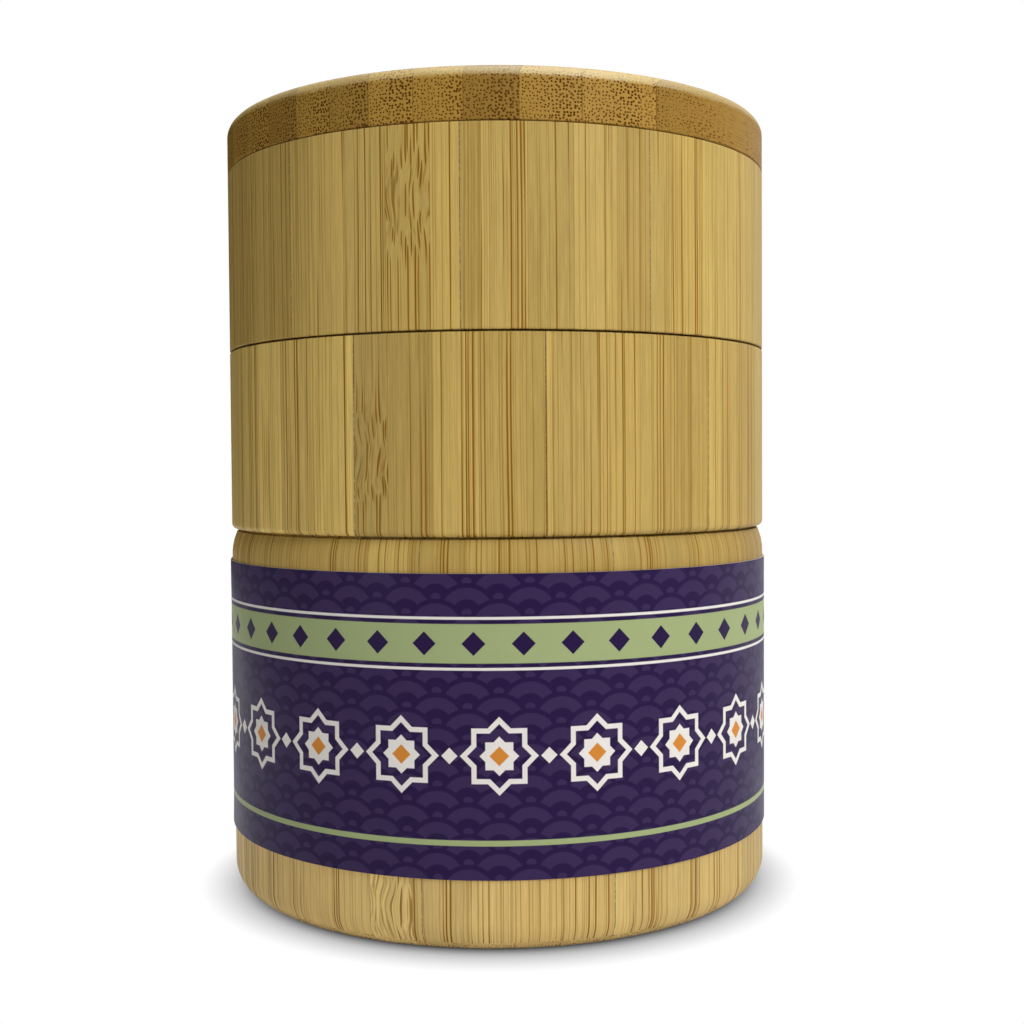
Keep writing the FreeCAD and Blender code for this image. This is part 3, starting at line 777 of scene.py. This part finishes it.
def wound_sleeve_tree():
    """A strip of paper that follows a path round the base, rises over its own start and laps it."""
    tree = bpy.data.node_groups.new("wound_sleeve", "GeometryNodeTree")
    for name in ("Inside radius", "Thickness", "Bottom", "Height", "Lap start", "Lap turn", "Rise turn",
                 "Edge lift", "Seed"):
        tree.interface.new_socket(name, in_out="INPUT", socket_type="NodeSocketFloat")
    tree.interface.new_socket("Material", in_out="INPUT", socket_type="NodeSocketMaterial")
    tree.interface.new_socket("Geometry", in_out="OUTPUT", socket_type="NodeSocketGeometry")
    given = add(tree, "NodeGroupInput")

    # Path: once round from the lap's start, then on over the start
    line = add(tree, "GeometryNodeMeshLine", {"Count": PATH_POINTS})["Mesh"]
    index = add(tree, "GeometryNodeInputIndex")[0]
    share = add(tree, MATH, (index, PATH_POINTS - 1), operation="DIVIDE")[0]
    full_turn = add(tree, MATH, (given["Lap turn"], 2 * math.pi), operation="ADD")[0]
    turned = add(tree, MATH, (share, full_turn), operation="MULTIPLY")[0]
    angle = add(tree, MATH, (turned, given["Lap start"]), operation="ADD")[0]
    rise_from = add(tree, MATH, (2 * math.pi, given["Rise turn"]), operation="SUBTRACT")[0]
    risen = add(tree, RANGE, (turned, rise_from, 2 * math.pi, 0.5, 1.5), interpolation_type="SMOOTHSTEP")[0]
    radius = add(tree, MATH, (risen, given["Thickness"], given["Inside radius"]), operation="MULTIPLY_ADD")[0]
    sine = add(tree, MATH, (angle,), operation="SINE")[0]
    cosine = add(tree, MATH, (angle,), operation="COSINE")[0]
    x = add(tree, MATH, (radius, sine), operation="MULTIPLY")[0]
    y = add(tree, MATH, (radius, cosine), operation="MULTIPLY")[0]
    y = add(tree, MATH, (y, -1.0), operation="MULTIPLY")[0]
    middle = add(tree, MATH, (given["Height"], 0.5, given["Bottom"]), operation="MULTIPLY_ADD")[0]
    spot = add(tree, JOIN, (x, y, middle))[0]
    line = add(tree, "GeometryNodeSetPosition", {"Geometry": line, "Position": spot})[0]
    path = add(tree, "GeometryNodeMeshToCurve", {"Mesh": line})[0]
    path = add(tree, "GeometryNodeSetCurveNormal", {"Curve": path}, mode="Z_UP")[0]

    # Strip: the sheet's section, carried along the path
    sheet = add(tree, "GeometryNodeCurvePrimitiveQuadrilateral",
                {"Width": given["Thickness"], "Height": given["Height"]})[0]
    sheet = add(tree, "GeometryNodeSubdivideCurve", {"Curve": sheet, "Cuts": SHEET_CUTS})[0]
    strip = add(tree, "GeometryNodeCurveToMesh",
                {"Curve": path, "Profile Curve": sheet, "Fill Caps": True})[0]

    # The free edges stand off the wall here and there
    position = add(tree, "GeometryNodeInputPosition")[0]
    outward = add(tree, VECTOR, (position, (1.0, 1.0, 0.0)), operation="MULTIPLY")[0]
    outward = add(tree, VECTOR, (outward,), operation="NORMALIZE")[0]
    height = add(tree, SPLIT, (position,))["Z"]
    from_middle = add(tree, MATH, (height, middle), operation="SUBTRACT")[0]
    from_middle = add(tree, MATH, (from_middle,), operation="ABSOLUTE")[0]
    edge_share = add(tree, MATH, (from_middle, given["Height"]), operation="DIVIDE")[0]
    near_edge = add(tree, RANGE, (edge_share, *FREE_EDGE_SHARES, 0.0, 1.0),
                    interpolation_type="SMOOTHSTEP")[0]
    ripple = add(tree, NOISE, {
        "Vector": position, "W": given["Seed"], "Scale": RIPPLES_PER_METRE, "Detail": 1.0,
    }, noise_dimensions="4D")[0]
    ripple = add(tree, RANGE, (ripple, *RIPPLE_NOISE, 0.0, 1.0))[0]
    lift = add(tree, MATH, (near_edge, ripple), operation="MULTIPLY")[0]
    lift = add(tree, MATH, (lift, given["Edge lift"]), operation="MULTIPLY")[0]
    lifted = add(tree, VECTOR, {0: outward, "Scale": lift}, operation="SCALE")[0]
    strip = add(tree, "GeometryNodeSetPosition", {"Geometry": strip, "Offset": lifted})[0]

    # The cut edges and ends stay crisp
    normal = add(tree, "GeometryNodeInputNormal")[0]
    facing = add(tree, VECTOR, (normal, outward), operation="DOT_PRODUCT")["Value"]
    facing = add(tree, MATH, (facing,), operation="ABSOLUTE")[0]
    cut = add(tree, "FunctionNodeCompare", (facing, 0.5), data_type="FLOAT", operation="LESS_THAN")[0]
    strip = add(tree, "GeometryNodeSetShadeSmooth",
                {"Geometry": strip, "Selection": cut, "Shade Smooth": False})[0]
    strip = add(tree, "GeometryNodeRealizeInstances", {"Geometry": strip})[0]
    strip = add(tree, "GeometryNodeSetMaterial", {"Geometry": strip, "Material": given["Material"]})[0]
    add(tree, "NodeGroupOutput", (strip,))
    return tree


def made_by(tree, name, values):
    """An object with the plain mesh that a Geometry Nodes tree makes from these named inputs."""
    piece = bpy.data.objects.new(name, bpy.data.meshes.new(name))
    bpy.context.scene.collection.objects.link(piece)
    modifier = piece.modifiers.new(name, "NODES")
    modifier.node_group = tree
    for socket in tree.interface.items_tree:
        if socket.in_out == "INPUT":
            modifier[socket.identifier] = values[socket.name]
    shaped = piece.evaluated_get(bpy.context.evaluated_depsgraph_get())
    mesh = bpy.data.meshes.new_from_object(shaped)
    piece.modifiers.clear()
    piece.data = mesh
    return piece


sleeve = made_by(wound_sleeve_tree(), "printed_sleeve", {
    "Inside radius": SLEEVE_INSIDE, "Thickness": PAPER_THICKNESS, "Bottom": SLEEVE_LOW[2],
    "Height": SLEEVE_HIGH[2] - SLEEVE_LOW[2], "Lap start": math.radians(SLEEVE_LAP_ANGLE),
    "Lap turn": SLEEVE_LAP / SLEEVE_INSIDE, "Rise turn": RISE_TURN, "Edge lift": EDGE_LIFT,
    "Seed": RIPPLE_SEED, "Material": coated_paper(),
})
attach(sleeve, "base")
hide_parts("paper_sleeve")


# Stage

FLOOR_HALF = 0.55
# Reach and softness of the painted shadow under the box
PAINTED_SHADOW_REACH = 7.5 * MM
PAINTED_SHADOW_FALLOFF = 0.8
FLAG_BOTTOM = 0.03
FLOOR_COLOUR = srgb("#F4F4F4")
PAINTED_SHADOW_SAMPLES = 16
FELT_COLOUR = srgb("#303030")
ROOM_COLOUR = srgb("#FFFFFF")
ROOM_FILL = 0.04
ROOM_WHITE = 1.0


def stage_floor():
    """A pale floor that lights the box from below and shows as white, with a painted soft shadow under the
    box.
    """
    mesh = bpy.data.meshes.new("floor")
    corners = [(-FLOOR_HALF, -FLOOR_HALF, 0), (FLOOR_HALF, -FLOOR_HALF, 0),
               (FLOOR_HALF, FLOOR_HALF, 0), (-FLOOR_HALF, FLOOR_HALF, 0)]
    mesh.from_pydata(corners, [], [(0, 1, 2, 3)])
    material, tree = new_material("pale_floor")
    lit = add(tree, "ShaderNodeBsdfDiffuse", {"Color": FLOOR_COLOUR})[0]
    # The shadow that shows under the box is painted: the floor's glow is dimmed by how near the box stands,
    # not by the lamps
    painted_shadow = add(tree, "ShaderNodeAmbientOcclusion", {"Distance": PAINTED_SHADOW_REACH},
                     samples=PAINTED_SHADOW_SAMPLES)["AO"]
    painted_shadow = add(tree, MATH, (painted_shadow, PAINTED_SHADOW_FALLOFF), operation="POWER")[0]
    seen = add(tree, "ShaderNodeEmission", {"Strength": painted_shadow})[0]
    path = add(tree, "ShaderNodeLightPath")
    shows = add(tree, MATH, (path["Is Camera Ray"], path["Is Glossy Ray"]), operation="MAXIMUM")[0]
    shows = add(tree, MATH, (shows, path["Is Transmission Ray"]), operation="MAXIMUM")[0]
    surface = add(tree, "ShaderNodeMixShader", (shows, lit, seen))[0]
    add(tree, MATERIAL_OUTPUT, {"Surface": surface})
    mesh.materials.append(material)
    floor = bpy.data.objects.new("floor", mesh)
    bpy.context.scene.collection.objects.link(floor)


def dark_flag(name, start, end, top):
    """A dark felt card, out of the camera's sight, that keeps the white room out of the box's sheen."""
    mesh = bpy.data.meshes.new(name)
    corners = [(*foot, height) for height in (FLAG_BOTTOM, top) for foot in (start, end)]
    mesh.from_pydata(corners, [], [(0, 1, 3, 2)])
    material, tree = new_material("black_felt")
    felt = add(tree, "ShaderNodeBsdfDiffuse", {"Color": FELT_COLOUR})[0]
    add(tree, MATERIAL_OUTPUT, {"Surface": felt})
    mesh.materials.append(material)
    flag = bpy.data.objects.new(name, mesh)
    flag.visible_camera = False
    bpy.context.scene.collection.objects.link(flag)


def softbox(name, place, target, size, power):
    """A square area lamp that faces a point."""
    lamp = bpy.data.lights.new(name, "AREA")
    lamp.shape = "SQUARE"
    lamp.size = size
    lamp.energy = power
    holder = bpy.data.objects.new(name, lamp)
    holder.location = place
    holder.rotation_euler = (Vector(target) - Vector(place)).to_track_quat("-Z", "Y").to_euler()
    bpy.context.scene.collection.objects.link(holder)


def studio_world():
    """White to the camera and in reflections, and a faint fill to the box."""
    world = bpy.data.worlds.new("studio")
    bpy.context.scene.world = world
    world.use_nodes = True
    tree = world.node_tree
    tree.nodes.clear()
    fill = add(tree, "ShaderNodeBackground", {"Color": ROOM_COLOUR, "Strength": ROOM_FILL})[0]
    white = add(tree, "ShaderNodeBackground", {"Color": ROOM_COLOUR, "Strength": ROOM_WHITE})[0]
    path = add(tree, "ShaderNodeLightPath")
    shows = add(tree, MATH, (path["Is Camera Ray"], path["Is Glossy Ray"]), operation="MAXIMUM")[0]
    shows = add(tree, MATH, (shows, path["Is Transmission Ray"]), operation="MAXIMUM")[0]
    backdrop = add(tree, "ShaderNodeMixShader", (shows, fill, white))[0]
    add(tree, "ShaderNodeOutputWorld", {"Surface": backdrop})


def photo_camera():
    """The camera at the photograph's place, a little above the middle of the box and in front of it."""
    yaw, pitch, roll = CAMERA_YAW, CAMERA_PITCH, CAMERA_ROLL
    forward = Vector((math.sin(yaw) * math.cos(pitch), math.cos(yaw) * math.cos(pitch), math.sin(pitch)))
    right = Vector((math.cos(yaw), -math.sin(yaw), 0.0))
    up = right.cross(forward)
    side = right * math.cos(roll) - up * math.sin(roll)
    top = right * math.sin(roll) + up * math.cos(roll)
    data = bpy.data.cameras.new("photo_camera")
    data.sensor_width = SENSOR_MM
    data.lens = FOCAL_PIXELS / PHOTO_PIXELS * SENSOR_MM
    data.clip_start = CAMERA_NEAR
    camera = bpy.data.objects.new("photo_camera", data)
    turn = Matrix((side, top, -forward)).transposed()
    camera.matrix_world = Matrix.Translation((0.0, -CAMERA_DISTANCE, CAMERA_HEIGHT)) @ turn.to_4x4()
    bpy.context.scene.collection.objects.link(camera)
    bpy.context.scene.camera = camera


stage_floor()
dark_flag("left_flag", start=(-0.35, -0.1), end=(-0.1, 0.5), top=0.34)
dark_flag("front_flag", start=(0.9, -1.1), end=(-0.9, -1.1), top=0.5)
softbox("key_softbox", place=(0.6, -0.68, 0.7), target=(0.0, 0.0, 0.07), size=0.5, power=6.8)
softbox("fill_softbox", place=(-0.75, -0.65, 0.06), target=(0.0, 0.0, 0.04), size=0.5, power=1.0)
softbox("top_softbox", place=(0.15, -0.08, 0.95), target=(0.0, 0.0, 0.1), size=0.75, power=6.4)
studio_world()
photo_camera()
bpy.context.scene.view_settings.view_transform = "Standard"
